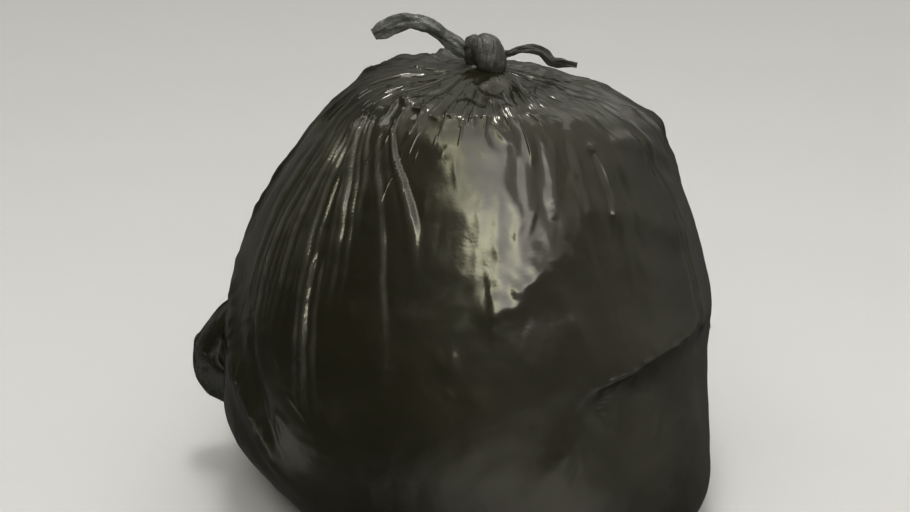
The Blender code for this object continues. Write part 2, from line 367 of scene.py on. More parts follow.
# Folds that the tie pulls down the left and front: routes, width and height in millimetres, how far each
# leans over to its right, and how much it widens on the way.
PULLED_FOLDS = (
    (
        ((-131, 0.112), (-122, 0.143), (-117, 0.159), (-112, 0.177), (-108, 0.196), (-106, 0.214),
         (-104, 0.250)), 2.8, 2.8, -0.2, 1.5),
    (
        ((-135, 0.120), (-123, 0.168), (-118, 0.195), (-114, 0.225), (-111, 0.266), (-109, 0.310),
         (-108, 0.370)), 2.0, 0.9, -0.2, 0.3),
    (
        ((-140, 0.125), (-136, 0.141), (-128, 0.171), (-125, 0.198), (-122, 0.230)), 2.0, 1.2, -0.2, 0.3),
    (
        ((-168, 0.125), (-161, 0.190), (-158, 0.260), (-155, 0.350)), 4.0, 2.2, 0.0, 0.0),
    (
        ((-176, 0.150), (-172, 0.220), (-169, 0.300)), 5.0, 2.4, 0.0, 0.0),
)
# How much painted highlight the pulled folds' crests get.
PULLED_CREST_HIGHLIGHT = 0.55

# Fine strands further left: routes alone.
STRANDS = (
    ((-146, 0.125), (-140, 0.147), (-132, 0.184), (-130, 0.200), (-127, 0.228), (-125, 0.260), (-124, 0.300)),
    ((-149, 0.128), (-143, 0.151), (-140, 0.184), (-138, 0.219), (-136, 0.248), (-134, 0.280), (-130, 0.340)),
    ((-133, 0.250), (-131, 0.290), (-129, 0.330), (-126, 0.400)),
    ((-153, 0.130), (-147, 0.167), (-145, 0.197), (-144, 0.226), (-143, 0.252), (-141, 0.300), (-140, 0.365)),
    ((-158, 0.140), (-152, 0.177), (-151, 0.207), (-151, 0.244), (-150, 0.284), (-148, 0.325), (-145, 0.370)),
)
# Each strand's own line and those beside it: degrees aside, width and height in millimetres, and how much
# painted highlight its crest gets.
STRAND_LINES = ((0.0, 2.9, 3.2, 0.8), (2.9, 2.1, 1.9, 0.35), (-2.7, 2.1, 1.8, 0.45))
STRAND_LEAN = -0.35

# Dark grooves beside the strands and the slack band: routes, width and height in millimetres.
GROOVES = (
    (((-145, 0.135), (-137, 0.178), (-134, 0.210), (-131, 0.250), (-129, 0.310)), 2.4, -1.6),
    (((-150, 0.140), (-144, 0.185), (-141, 0.219), (-139, 0.250), (-137, 0.290), (-135, 0.350)), 2.4, -2.0),
    (((-154, 0.155), (-149, 0.200), (-148, 0.240), (-146, 0.285), (-144, 0.345)), 2.4, -1.8),
    (((-152, 0.330), (-144, 0.378), (-138, 0.420), (-131, 0.470)), 5.0, -2.6),
)

# Broad soft hollows down the right of the front, and broad folds, given the same way.
SOFT_HOLLOWS = (
    (((-74, 0.105), (-76, 0.119), (-79, 0.140), (-79, 0.165), (-78, 0.200)), 4.6, -1.0),
    (((-65, 0.110), (-68, 0.123), (-72, 0.158), (-72, 0.184), (-70, 0.222)), 5.8, -1.2),
    (((-52, 0.110), (-57, 0.125), (-62, 0.147), (-63, 0.175), (-61, 0.225)), 6.2, -1.4),
    (((-42, 0.116), (-47, 0.128), (-52, 0.154), (-54, 0.183), (-52, 0.230)), 6.4, -1.4),
    (((-33, 0.120), (-38, 0.135), (-43, 0.160), (-45, 0.190), (-43, 0.225)), 6.4, -1.4),
)
BROAD_FOLDS = (
    (((-72, 0.248), (-69, 0.265), (-66, 0.290), (-63, 0.325)), 7.0, 1.1),
    (((-46, 0.146), (-30, 0.160), (-8, 0.203), (0, 0.242)), 7.0, 2.6),
    (((-62, 0.190), (-46, 0.214), (-28, 0.250), (-14, 0.280)), 10.0, 2.2),
    (((-50, 0.225), (-44, 0.265), (-39, 0.305)), 12.0, 1.0),
    (((-133, 0.420), (-118, 0.424), (-100, 0.428)), 3.5, 0.8),
    (((-100, 0.300), (-92, 0.330), (-86, 0.365)), 9.0, 0.4),
)

# The long crease low on the right, from back to front: where it fades in and out, how much it wavers, and
# where its lip gets lower near the end, as shares.
CREASE = (
    (30, 0.343), (14, 0.350), (-2, 0.355), (-16, 0.350), (-30, 0.342), (-45, 0.342), (-56, 0.347),
    (-62, 0.352), (-69, 0.372))
CREASE_REACH = 0.08
CREASE_BAND = (0.16, 0.62, 0.86, 1)
CREASE_WAVER = 0.3
LIP_ENDS = (0.70, 0.92)
LIP_END_LOWER = 0.5
# How far the film above it rolls out and over what length, how far the film below is drawn under, over what
# length and until where, and how round the lip between them is.
LIP_OUT, LIP_RISE = 0.0090, 0.020
DRAWN_UNDER, DRAWN_FALL, DRAWN_UNTIL = 0.0170, 0.015, 0.060
LIP_ROUND = 0.0020
# Beads on the lip: height and size, and how far below the crease their band is and how wide.
LIP_BEADS, LIP_BEAD_SIZE = 0.0028, 0.011
LIP_BEADS_AWAY, LIP_BEADS_WIDTH = 0.002, 0.008
CREASE_HOLDS, CREASE_HOLD_WIDTH = 0.8, 0.02
# The crease's tail, the wrinkled foot of the smooth patch, and the slack band low on the left.
CREASE_TAIL = ((-58, 0.366), (-66, 0.390), (-71, 0.412), (-78, 0.440))
PATCH_FOOT = (
    (-90, 0.268), (-85, 0.272), (-80, 0.259), (-76, 0.247), (-71, 0.238), (-66, 0.236), (-61, 0.244))
LEFT_BAND = ((-178, 0.300), (-168, 0.345), (-154, 0.394), (-143, 0.430), (-136, 0.471), (-128, 0.520))


def smooth_step(low, high, value):
    """0 at low and below, 1 at high and above, with no corner between."""
    share = np.clip((value - low) / (high - low), 0.0, 1.0)
    return share * share * (3 - 2 * share)


def band(value, start, full, fades, gone):
    """0 up to start, 1 from full to fades, and 0 again from gone on."""
    return smooth_step(start, full, value) * (1 - smooth_step(fades, gone, value))


def hump(value, spread):
    """A bell curve, 1 where value is 0."""
    return np.exp(-((value / spread) ** 2))


def turn_between(a, b):
    """The angle from b to a in degrees, from -180 to 180."""
    return (a - b + 180) % 360 - 180


def unit(vectors):
    """The vectors, each made 1 long."""
    return vectors / np.maximum(np.linalg.norm(vectors, axis=-1, keepdims=True), 1e-12)


def along_rows(rows, share):
    """The numbers at shares of the way from the first row to the last, on a Catmull-Rom curve."""
    rows = np.asarray(rows, float)
    place = np.atleast_1d(share) * (len(rows) - 1)
    index = np.minimum(place.astype(int), len(rows) - 2)
    t = (place - index)[:, None]
    before, here, ahead, after = (rows[np.clip(index + step, 0, len(rows) - 1)] for step in (-1, 0, 1, 2))
    return (
        here
        + 0.5 * t * (ahead - before)
        + t**2 * (before - 2.5 * here + 2 * ahead - 0.5 * after)
        + t**3 * (1.5 * (here - ahead) + 0.5 * (after - before))
    )


def stuffed_shape(azimuth, level):
    """Points of the smooth film, at azimuths in radians and levels from 0 at the base to 1 at the neck."""
    height, left, right, front, back = along_rows(STATIONS, level).T[:, :, None]
    height = np.maximum(height, 0.0)
    across, along = np.cos(azimuth), np.sin(azimuth)
    round_off = (abs(across) ** SECTION_POWER + abs(along) ** SECTION_POWER) ** (-1 / SECTION_POWER)
    x = HALF_WIDTH * np.where(across > 0, right, left) * across * round_off
    y = HALF_DEPTH * np.where(along > 0, back, front) * along * round_off
    push = 0.0
    off_base = smooth_step(0.0, SWELLINGS_FULL, height)
    for middle, middle_height, spread_deg, spread, out in SWELLINGS.values():
        turn = turn_between(np.degrees(azimuth), middle)
        push = push + out * off_base * hump(turn, spread_deg) * hump(height - middle_height, spread)
    grown = 1 + push / np.maximum(np.hypot(x, y), SMALLEST_REACH)
    lean = smooth_step(LEAN_STARTS, 1.0, height)
    points = np.stack([x * grown, y * grown, height * NECK_HEIGHT + 0 * x], axis=-1)
    return points + NECK_LEAN * lean[..., None]


def spaced(low, high, count, close, difference):
    """count numbers from low up to just before high, closer together near the places that close lists."""
    fine = np.linspace(low, high, 3000)
    density = 1 + sum(more * hump(difference(fine, middle), spread) for middle, spread, more in close)
    share = np.concatenate([[0], np.cumsum(density[1:] + density[:-1])])
    return np.interp(np.arange(count) / count, share / share[-1], fine)


def spaced_levels():
    """Levels for the grid's rows, from the base to the neck."""
    fine = np.linspace(0, 1, 600)
    outline = stuffed_shape(np.radians(range(0, 360, 30)), fine)
    steps = np.linalg.norm(np.diff(outline, axis=0), axis=-1).mean(axis=1)
    path = np.concatenate([[0], np.cumsum(steps)])
    base_end = np.interp(BASE_STATION / (len(STATIONS) - 1), fine, path)
    base_rows = round(BASE_SHARE * ROWS)
    base = np.linspace(0, base_end, base_rows, endpoint=False)[1:]
    downs = spaced(0, path[-1] - base_end, ROWS - base_rows + 1, CLOSE_ROWS, np.subtract)
    return np.interp(np.concatenate([base, path[-1] - downs[::-1]]), path, fine)


def noise(points, size, seed):
    """Smooth random numbers over a grid of points, mostly from -1 to 1, in lumps of about this size."""
    random = np.random.default_rng(seed)
    slopes = unit(random.normal(size=(NOISE_CELLS, 3)))
    order = random.permutation(NOISE_CELLS)
    place = points / size + NOISE_ORIGIN
    cell = np.floor(place).astype(int)
    inside = place - cell
    fade = inside**3 * (inside * (inside * 6 - 15) + 10)
    total = 0.0
    for corner in np.ndindex(2, 2, 2):
        x, y, z = (cell[..., axis] + corner[axis] for axis in range(3))
        pick = order[(order[(order[x % NOISE_CELLS] + y) % NOISE_CELLS] + z) % NOISE_CELLS]
        value = (slopes[pick] * (inside - np.array(corner))).sum(axis=-1)
        weight = np.prod(np.where(np.array(corner) == 1, fade, 1 - fade), axis=-1)
        total = total + weight * value
    return NOISE_GAIN * total


def crests(value):
    """Turns smooth noise into sharp crests, from 1 on a crest down to about -1 between them."""
    return 1 - CREST_FALL * np.sqrt(value**2 + CREST_ROUND**2)


class Film:
    """The film's grid and what shapes it: push is how far each point moves out, pinched how much a fold holds
    the film there, and the third field how much painted highlight a fold's crest lays on each point."""

    def __init__(self):
        self.azimuth = np.radians(spaced(-180, 180, AROUND, CLOSE_COLUMNS, turn_between))
        self.degrees = np.degrees(self.azimuth)
        self.points = stuffed_shape(self.azimuth, spaced_levels())
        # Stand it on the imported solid's own sides.
        self.points[..., 0] += HIGH[0] - self.points[..., 0].max()
        self.points[..., 1] += LOW[1] - self.points[..., 1].min()
        across = np.roll(self.points, -1, axis=1) - np.roll(self.points, 1, axis=1)
        self.normal = unit(np.cross(across, np.gradient(self.points, axis=0)))
        steps = np.linalg.norm(np.diff(self.points, axis=0), axis=-1)
        from_base = np.concatenate([np.zeros((1, AROUND)), np.cumsum(steps, axis=0)])
        self.down = from_base[-1] - from_base
        swept = (np.roll(self.azimuth, -1) - np.roll(self.azimuth, 1)) % (2 * math.pi)
        self.metres_per_degree = np.linalg.norm(across, axis=-1) / np.degrees(swept)
        self.push, self.pinched, self.crest_highlight = (np.zeros(self.down.shape) for _ in range(3))
        self.wobble = WOBBLE * noise(self.points, WOBBLE_SIZE, SEED)
        waver = WAVER * noise(self.points, WAVER_SIZE, SEED + 1)
        self.waver = 1 + waver + BEADS * noise(self.points, BEAD_SIZE, SEED + 12)

    def around(self, route, reach):
        """The index of the part of the grid that lies within reach, in metres, of the box of a route."""
        azimuths = route[0][0] + turn_between(np.array([point[0] for point in route]), route[0][0])
        downs = [point[1] for point in route]
        near = (self.down.max(axis=1) > min(downs) - reach) & (self.down.min(axis=1) < max(downs) + reach)
        rows = np.nonzero(near)[0]
        spare = reach / self.metres_per_degree[rows].min()
        middle, half = (azimuths.max() + azimuths.min()) / 2, (azimuths.max() - azimuths.min()) / 2
        columns = np.nonzero(abs(turn_between(self.degrees, middle)) < half + spare)[0]
        return np.ix_(rows, columns)

    def beside(self, route, reach):
        """For the grid near a route: its index, how far each point lies beside a smooth line through it, in
        metres, and its share of the way. Left of the line, looking down it, is below 0."""
        index = self.around(route, reach)
        down, scale = self.down[index], self.metres_per_degree[index]
        degrees = self.degrees[index[1]]
        line = along_rows(route, np.linspace(0, 1, (len(route) - 1) * ROUTE_STEPS + 1))
        nearest = np.full(down.shape, np.inf)
        side, share = np.ones(down.shape), np.zeros(down.shape)
        for step, (start, end) in enumerate(zip(line[:-1], line[1:])):
            ahead_x, ahead_y = turn_between(end[0], start[0]) * scale, end[1] - start[1]
            x, y = turn_between(degrees, start[0]) * scale, down - start[1]
            t = np.clip((x * ahead_x + y * ahead_y) / (ahead_x**2 + ahead_y**2 + 1e-12), 0, 1)
            away = np.hypot(x - t * ahead_x, y - t * ahead_y)
            closer = away < nearest
            nearest = np.where(closer, away, nearest)
            side = np.where(closer, np.sign(x * ahead_y - y * ahead_x), side)
            share = np.where(closer, (step + t) / (len(line) - 1), share)
        return index, nearest * side + self.wobble[index], share

    def ridge(
        self, route, width, height, fade_in=0.15, fade_out=0.45, sharp=1.35, slack=0.35, lean=0.0, grow=0.0,
        pale=0.0,
    ):
        """Pinches the film up along a route, with slack valleys beside it. With a lean above 0 it falls over
        to its right, seen from outside. With a grow above 0 it widens along the route. pale is how much
        painted highlight its crest gets, brightest on its beads."""
        index, away, share = self.beside(route, RIDGE_REACH * width + 2 * WOBBLE)
        alive = band(share, -PAST_END, fade_in, 1 - fade_out, 1 + PAST_END)
        x = abs(away) / (width * (1 + lean * np.sign(away)) * (1 + grow * (share - 0.5)))
        crest = np.exp(-(x**sharp))
        shape = crest - slack * hump(x - VALLEY_AWAY, VALLEY_WIDTH)
        self.push[index] += height * alive * self.waver[index] * shape
        # Paints a highlight along the crest, brightest on the beads, for the light that the fold catches.
        if pale:
            highlight_streak = pale * alive * np.clip(2 * self.waver[index] - 1, 0, BRIGHTEST_HIGHLIGHT_BEAD) * crest
            self.crest_highlight[index] = np.maximum(self.crest_highlight[index], highlight_streak)
        if abs(height) > PINCHED_HEIGHT:
            self.pinched[index] = np.maximum(self.pinched[index], alive * hump(x, HELD_WIDTH))

    def dent(self, azimuth, down, width, length, depth):
        """Presses one smooth hollow into the film, or a bulge out of it if the depth is negative."""
        index = self.around(((azimuth, down),), DENT_REACH * max(width, length))
        x = turn_between(self.degrees[index[1]], azimuth) * self.metres_per_degree[index]
        y = self.down[index] - down
        self.push[index] -= depth * np.exp(-((x / width) ** 2) - (y / length) ** 2)

    def pleats(self, count, length, seed):
        """About count crests round the film, drawn out down it, each about length metres long."""
        radius = count / (2 * math.pi)
        turn = self.azimuth + 0 * self.down
        place = np.stack([np.cos(turn) * radius, np.sin(turn) * radius, self.down / length], axis=-1)
        return crests(noise(place + PLEAT_WAVER * self.waver[..., None], 1.0, seed))

    def sector(self, azimuth, spread):
        """A bell curve round the bag, 1 at an azimuth."""
        return hump(turn_between(self.degrees, azimuth), spread)

    def lumps(self, heights_and_sizes, seed, share):
        """Pushes the film in and out by a share of soft lumps."""
        for number, (height, size) in enumerate(heights_and_sizes):
            self.push += height * share * noise(self.points, size, seed + number)


def lay(film, folds, **shape):
    """Ridges from a table of routes, widths and heights in millimetres, and for some their lean and grow."""
    for route, width, height, *more in folds:
        film.ridge(route, width / 1000, height / 1000, **dict(zip(("lean", "grow"), more)), **shape)


def gather_neck(film):
    """Pleats that radiate from the tie: coarse and deep on top, and dying away past the rim."""
    width = film.metres_per_degree * 360
    near = smooth_step(0.0, TIE_STARTS, film.down)
    free = 1.0
    for azimuth, spread, start, full, takes in TAKEN_SECTORS:
        free = free - takes * (film.sector(azimuth, spread) * smooth_step(start, full, film.down))
    free = np.clip(free, 0, 1)
    for number, (count, length, share, highest, fades, gone) in enumerate(TIE_PLEATS):
        height = near * np.minimum(share * width / count, highest)
        alive = 1 - smooth_step(fades, gone, film.down)
        film.push += height * alive * free * film.pleats(count, length, SEED + 2 + number)
    film.push += FAINT_HEIGHT * band(film.down, *FAINT_BAND) * free * film.pleats(*FAINT_PLEATS, SEED + 5)
    for dent in TOP_DENTS:
        film.dent(*dent)
    for azimuth, down, size, height in RIM_BUMPS:
        film.dent(azimuth, down, size / 1000, RIM_BUMP_SHORT * size / 1000, -height / 1000)
    lay(film, TOP_FOLDS, fade_in=0.25, fade_out=0.35, sharp=1.5, slack=0.4)


def small_crease(film, random, kind, azimuth, down, lean_deg, metres_per_degree, calm=1.0):
    """One small straight crease of a kind, at random round a lean off the pull."""
    length = random.uniform(*kind["length"])
    lean = math.radians(random.normal(0, lean_deg))
    turn = length * math.sin(lean) / metres_per_degree
    route = ((azimuth, down), (azimuth + turn, down + length * math.cos(lean)))
    height = calm * (random.uniform(*kind["height"]) * random.choice((kind["inward"], 1.0)))
    width = random.uniform(*kind["width"])
    film.ridge(route, width, height, fade_in=0.4, fade_out=0.5, sharp=kind["sharp"], slack=kind["slack"])


def crumple_top(film):
    """Small creases and lumps on the gathered top, mostly along its pleats."""
    random = np.random.default_rng(SEED + 13)
    for _ in range(TOP_CREASES["count"]):
        azimuth = random.uniform(-180, 180)
        down = random.uniform(*TOP_CREASES["down"])
        metres_per_degree = max(METRES_PER_DEGREE * down / WIDEST_DOWN, SHORTEST_DEGREE)
        small_crease(film, random, TOP_CREASES, azimuth, down, TOP_LEAN, metres_per_degree)
    film.lumps(TOP_LUMPS, SEED + 14, band(film.down, *TOP_LUMPS_BAND))


def fold_sides(film):
    """The folds, strands, grooves and hollows down the left and the front."""
    lay(film, PULLED_FOLDS, sharp=1.5, slack=0.15, pale=PULLED_CREST_HIGHLIGHT)
    lay(film, GROOVES, sharp=1.5, slack=0.15)
    for strand in STRANDS:
        for aside, width, height, pale in STRAND_LINES:
            route = [(azimuth + aside, down) for azimuth, down in strand]
            lay(film, [(route, width, height, STRAND_LEAN)], sharp=1.5, slack=0.15, pale=pale)
    lay(film, SOFT_HOLLOWS, fade_in=0.35, fade_out=0.3, sharp=1.8, slack=0.4)
    lay(film, BROAD_FOLDS, fade_in=0.3, fade_out=0.3, sharp=1.7, slack=0.3)
    film.dent(*SHOULDER_DENT)


def fold_back(film):
    """Folds on the back and the right, which follow the same pull, and the uneven stuffing behind them."""
    folds, random = BACK_FOLDS, np.random.default_rng(SEED + 6)
    for azimuth in folds["azimuths"]:
        middle = azimuth + random.uniform(-folds["off"], folds["off"])
        start, end = random.uniform(*folds["start"]), random.uniform(*folds["end"])
        bend = random.uniform(-folds["bend"], folds["bend"])
        route = ((middle, start), (middle + bend / 2, (start + end) / 2), (middle + bend, end))
        width, height = random.uniform(*folds["width"]), random.uniform(*folds["height"])
        if azimuth < LOWER_BEFORE:
            height *= LOWER_SHARE
        film.ridge(route, width, height, lean=random.uniform(-folds["lean"], folds["lean"]))
    film.lumps(BACK_LUMPS, SEED + 15, (1 - film.sector(*FRONT)) * smooth_step(*SIDES_START, film.down))


def crease_sides(film):
    """The long crease low on the right, where the film above rolls over that below, and what is round it."""
    index, away, share = film.beside(CREASE, CREASE_REACH)
    waver = 1 - CREASE_WAVER + CREASE_WAVER * film.waver[index]
    alive = band(share, *CREASE_BAND) * waver
    lifted = 1 - LIP_END_LOWER * smooth_step(*LIP_ENDS, share)
    above, below = np.minimum(away, 0), LIP_ROUND * np.log1p(np.exp(away / LIP_ROUND))
    roll = LIP_OUT * lifted * np.exp(above / LIP_RISE) - DRAWN_UNDER * (1 - np.exp(-below / DRAWN_FALL))
    beads = LIP_BEADS * lifted * hump(away - LIP_BEADS_AWAY, LIP_BEADS_WIDTH)
    beads = beads * noise(film.points[index], LIP_BEAD_SIZE, SEED + 17)
    film.push[index] += alive * (roll * hump(below, DRAWN_UNTIL) + beads)
    held = CREASE_HOLDS * alive * hump(away, CREASE_HOLD_WIDTH)
    film.pinched[index] = np.maximum(film.pinched[index], held)
    film.ridge(CREASE_TAIL, width=0.016, height=0.0035, fade_in=0.3, sharp=1.8, slack=0.2)
    film.ridge(PATCH_FOOT, width=0.020, height=0.0034, fade_in=0.25, fade_out=0.35, sharp=1.8, slack=0.0)
    film.ridge(LEFT_BAND, width=0.013, height=0.0050, sharp=2.0, slack=0.3)


def crumple_sides(film):
    """Small creases at random on the sides, mostly along the pull, and the lumps of what is inside."""
    random = np.random.default_rng(SEED + 7)
    for _ in range(SIDE_CREASES["count"]):
        azimuth = math.degrees(random.choice(film.azimuth))
        down = random.uniform(*SIDE_CREASES["down"])
        lean_deg = LOW_LEAN if down > LOW_DOWN else HIGH_LEAN
        calm = 1.0
        if down < PATCH_CREASES_END:
            middle, spread = PATCH_CREASES
            calm = 1 - PATCH_CREASES_TAKES * hump(turn_between(azimuth, middle), spread)
        small_crease(film, random, SIDE_CREASES, azimuth, down, lean_deg, METRES_PER_DEGREE, calm)
    calm = 1 - PATCH_TAKES * film.sector(*PATCH_LUMPS) * (1 - smooth_step(*PATCH_ENDS, film.down))
    film.lumps(SIDE_LUMPS, SEED + 8, smooth_step(*SIDES_START, film.down) * calm)
    film.lumps(CRINKLES, SEED + 10, calm)


def spare_film(film):
    """The film's spare length round and down it, as shares."""
    pulled = 1 - smooth_step(*PULL_ENDS, film.down)
    low = smooth_step(*LOW_STARTS, film.down)
    taken = np.max([less * film.sector(azimuth, spread) for azimuth, spread, less in TAUT_SECTORS], axis=0)
    taut = 1 - taken * smooth_step(*TAUT_STARTS, film.down)
    uneven = np.clip(1 + UNEVEN * noise(film.points, UNEVEN_SIZE, SEED + 20), 0, 2) * taut
    uneven = uneven * (1 - PINCH_TAKES * film.pinched)
    return (SPARE_ROUND + SPARE_PULLED * pulled) * uneven, (SPARE_DOWN + SPARE_LOW * low) * uneven


def rest_lengths(film, points):
    """How long the film is between neighbours: round it, down it, and from corner to corner both ways."""
    spare_round, spare_down = spare_film(film)
    around = np.linalg.norm(np.roll(points, -1, axis=1) - points, axis=-1) * (1 + spare_round)
    down = np.linalg.norm(points[1:] - points[:-1], axis=-1) * (1 + spare_down[1:])
    grown = 1 + (spare_round[1:] + spare_down[1:]) / 2
    askew = {}
    for turn in (-1, 1):
        askew[turn] = np.linalg.norm(np.roll(points, -turn, axis=1)[1:] - points[:-1], axis=-1) * grown
    return around, down, askew


def spring(a, b, rest, stiffness=1.0):
    """Moves two sets of points towards their rest distance, each half the way."""
    apart = b - a
    length = np.sqrt((apart**2).sum(axis=-1))
    move = (0.5 * stiffness * (1 - rest / np.maximum(length, 1e-9)))[..., None] * apart
    return a + move, b - move


def pull_together(now, around, down, askew):
    """One solve of all the springs. Those round and down the film are taken every other one at a time."""
    for start in (0, 1):
        here = np.arange(start, AROUND, 2)
        ahead = (here + 1) % AROUND
        now[:, here], now[:, ahead] = spring(now[:, here], now[:, ahead], around[:, here])
    for start in (0, 1):
        # The last row is tied, so it pulls on nothing at first.
        rows = np.arange(start, len(now) - 2, 2)
        now[rows], now[rows + 1] = spring(now[rows], now[rows + 1], down[rows])
    for turn, rest in askew.items():
        turned = np.roll(now, -turn, axis=1)
        a, b = spring(now[:-1], turned[1:], rest, SHEAR_STIFFNESS)
        moved = np.zeros_like(now)
        moved[:-1] += a - now[:-1]
        moved[1:] += np.roll(b - turned[1:], turn, axis=1)
        # Each point is at an end of two of these.
        now += moved / 2


def settle(film, points):
    """Lets the film settle like thin cloth: it can't stretch or shrink much, and can't go into its contents,
    so it takes up its spare length in creases."""
    rests = rest_lengths(film, points)
    from_base = film.down[0].max() - film.down
    loose = smooth_step(0.0, HELD_AT_NECK, film.down) * smooth_step(0.0, HELD_AT_BASE, from_base)
    loose = loose[..., None]
    contents = CONTENTS_FILL * film.push - CONTENTS_GAP
    now, before = points.copy(), points.copy()
    for _ in range(SETTLE_ROUNDS):
        speed = (now - before) * SPEED_KEPT
        before = now.copy()
        now = now + loose * (speed - DRAWN_IN * film.normal)
        for _ in range(SETTLE_SOLVES):
            pull_together(now, *rests)
        out = now - film.points
        out += BEND_STIFFNESS * ((np.roll(out, 1, axis=1) + np.roll(out, -1, axis=1)) / 2 - out)
        out[1:-1] += BEND_STIFFNESS * ((out[2:] + out[:-2]) / 2 - out[1:-1])
        inside = np.minimum((out * film.normal).sum(axis=-1) - contents, 0)
        out -= inside[..., None] * film.normal
        now = before + loose * (film.points + out - before)
    return now


def link(name, mesh):
    """Puts a mesh in the scene as an object."""
    piece = bpy.data.objects.new(name, mesh)
    bpy.context.scene.collection.objects.link(piece)
    return piece


def grid_mesh(name, points, crest_highlight=None):
    """A closed mesh over rows of points that run round a form. A fan to its middle closes each end."""
    rows, columns = points.shape[:2]
    corner = np.arange(rows * columns).reshape(rows, columns)
    ahead = np.roll(corner, -1, axis=1)
    quads = np.stack([corner[:-1], ahead[:-1], ahead[1:], corner[1:]], axis=-1).reshape(-1, 4)
    first, last = rows * columns, rows * columns + 1
    start_fan = np.stack([np.full(columns, first), ahead[0], corner[0]], axis=-1)
    end_fan = np.stack([np.full(columns, last), corner[-1], ahead[-1]], axis=-1)
    vertices = np.concatenate([points.reshape(-1, 3), [points[0].mean(axis=0)], [points[-1].mean(axis=0)]])
    mesh = bpy.data.meshes.new(name)
    mesh.from_pydata(vertices.tolist(), [], quads.tolist() + start_fan.tolist() + end_fan.tolist())
    mesh.shade_smooth()
    # The painted crest highlight rides along as a point attribute.
    if crest_highlight is not None:
        values = np.concatenate([crest_highlight.ravel(), [0.0, 0.0]]).astype(np.float32)
        mesh.attributes.new("crest_highlight", "FLOAT", "POINT").data.foreach_set("value", values)
    return link(name, mesh)


def dress(piece, material):
    """Gives a piece its material and its place in the frame."""
    piece.data.materials.append(material)
    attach(piece, "root")
    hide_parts("bin_bag")


def film_piece():
    """The stuffed film as one closed mesh, pressed flat where it stands on the floor."""
    film = Film()
    for shape in (gather_neck, crumple_top, fold_sides, fold_back, crease_sides, crumple_sides):
        shape(film)
    points = film.points + film.normal * film.push[..., None]
    points = settle(film, points)
    points[..., 2] = np.maximum(points[..., 2], FLOOR_GAP)
    return grid_mesh("film", points, film.crest_highlight)


def push_along_normals(points, push):
    """Moves rows of points that run round a form outwards."""
    across = np.roll(points, -1, axis=1) - np.roll(points, 1, axis=1)
    return points + unit(np.cross(across, np.gradient(points, axis=0))) * push[..., None]


def full_turn(count):
    """Angles in radians, evenly round a circle."""
    return np.linspace(0, 2 * math.pi, count, endpoint=False)


def knot_lobe(name, offset, size, lean_deg, turn_deg, seed):
    """One round of the knot: bunched film pulled tight, ribbed along its length and pinched at its ends."""
    rows, around = LOBE_GRID
    along = np.linspace(LOBE_END, math.pi - LOBE_END, rows)[:, None]
    turn = full_turn(around)
    ring = np.sin(along) ** LOBE_FULLNESS
    points = np.stack([ring * np.cos(turn), ring * np.sin(turn), -np.cos(along) + 0 * turn], axis=-1)
    points = points * np.array(size) / 2
    twist = turn + LOBE_TWIST * np.cos(along)
    change = LOBE_RIB_CHANGE * np.cos(along) + 0 * turn
    ribs = np.stack([LOBE_RIBS * np.cos(twist), LOBE_RIBS * np.sin(twist), change], axis=-1)
    push = COARSE_RIBS * crests(noise(ribs, 1.0, seed)) * np.sin(along)
    push += FINE_RIBS * crests(noise(FINE_RIBS_CLOSER * ribs, 1.0, seed + 1))
    for number, (height, lump) in enumerate(LOBE_LUMPS):
        push += height * noise(points, lump, seed + 2 + number)
    points = push_along_normals(points, push)
    lean, spin = math.radians(lean_deg), math.radians(turn_deg)
    about_y = np.array([[math.cos(lean), 0, math.sin(lean)], [0, 1, 0], [-math.sin(lean), 0, math.cos(lean)]])
    about_z = np.array([[math.cos(spin), -math.sin(spin), 0], [math.sin(spin), math.cos(spin), 0], [0, 0, 1]])
    return grid_mesh(name, points @ about_z.T @ about_y.T + KNOT_CENTRE + np.array(offset))


def tail(name, route, seed):
    """A loose end of film: a flattened, pleated rope that twists and tapers along its route."""
    rows, around = TAIL_GRID
    share = np.linspace(0, 1, rows)[:, None]
    line = along_rows(route, share[:, 0])
    centre, half = line[:, :3] + KNOT_CENTRE, line[:, 3:]
    ahead = unit(np.gradient(centre, axis=0))
    side = unit(np.cross(ahead, (0.0, 1.0, 0.0)))
    over = np.cross(side, ahead)
    turn = full_turn(around)
    pleats = 0.0
    for height, count, twist, phase in TAIL_PLEATS:
        pleats = pleats + height * np.sin(count * turn + twist * share + phase * seed)
    reach = half * (TAIL_SHARE + pleats)
    across, thick = reach * np.cos(turn), TAIL_FLATNESS * reach * np.sin(turn)
    points = centre[:, None] + side[:, None] * across[..., None] + over[:, None] * thick[..., None]
    push = TAIL_CREASES[0] * crests(noise(points, TAIL_CREASES[1], seed))
    push += TAIL_LUMPS[0] * noise(points, TAIL_LUMPS[1], seed + 1)
    return grid_mesh(name, push_along_normals(points, push * band(share, *TAIL_BAND)))


def ear_flap(name, outline, middle_y, half_thickness, seed):
    """A puffed corner of film, seen from the front as an outline, with the bag's seam round its rim."""
    rows, around = EAR_GRID
    rim = along_rows([*outline, outline[0]], np.linspace(0, 1, around, endpoint=False))
    middle = rim.mean(axis=0)
    turn = np.linspace(0, math.pi, rows)[1:-1, None]
    share = np.sin(turn) ** EAR_FULLNESS
    seam = SEAM_HEIGHT * hump(turn - math.pi / 2, SEAM_WIDTH)
    flat = middle + (rim - middle)[None] * share[..., None] + unit(rim - middle)[None] * seam[..., None]
    y = middle_y - half_thickness * np.cos(turn) * np.ones(around)
    points = np.stack([flat[..., 0], y, flat[..., 1]], axis=-1)
    push = EAR_LUMPS[0] * noise(points, EAR_LUMPS[1], seed + 2)
    for number, (height, size) in enumerate(EAR_CREASES):
        push += height * crests(noise(points, size, seed + number))
    creased_share = 1 - hump(turn - math.pi / 2, SEAM_PLAIN)
    return grid_mesh(name, push_along_normals(points, push * creased_share))


